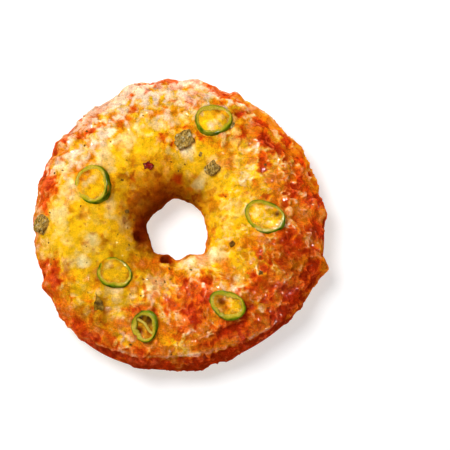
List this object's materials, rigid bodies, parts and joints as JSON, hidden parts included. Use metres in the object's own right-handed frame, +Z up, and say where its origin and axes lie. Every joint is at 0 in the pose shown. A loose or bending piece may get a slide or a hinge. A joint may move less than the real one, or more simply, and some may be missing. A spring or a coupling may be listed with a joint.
{
  "type": "pizza doughnut",
  "caption": "Baked ring doughnut under melted cheese and tomato sauce, topped with cut green chilli rings and diced pepper.",
  "frame": {"origin": "Centre of the ring as seen from above, on the surface that the flat base rests on.", "axes": "+Z is up, out of the crown of the ring. +X is to the right and +Y away from the viewer, as the picture shows the doughnut from nearly straight above."},
  "size_m": [0.1251, 0.1255, 0.0332],
  "materials": {
    "baked_dough": "soft baked bread skin, matte, pale gold",
    "melted_cheese_and_sauce": "melted cheese with tomato sauce, oily sheen, yellow to red",
    "chilli_skin": "glossy green chilli skin with paler cut flesh",
    "roast_pepper": "soft roasted pepper, satin, olive brown"
  },
  "bodies": {
    "root": {"dough_ring": "baked_dough", "cheese_and_sauce": "melted_cheese_and_sauce", "chilli_slice_1": "chilli_skin", "chilli_slice_2": "chilli_skin", "chilli_slice_3": "chilli_skin", "chilli_slice_4": "chilli_skin", "chilli_slice_5": "chilli_skin", "chilli_slice_6": "chilli_skin", "pepper_dice_1": "roast_pepper", "pepper_dice_2": "roast_pepper", "pepper_dice_3": "roast_pepper"}
  },
  "joints": []
}
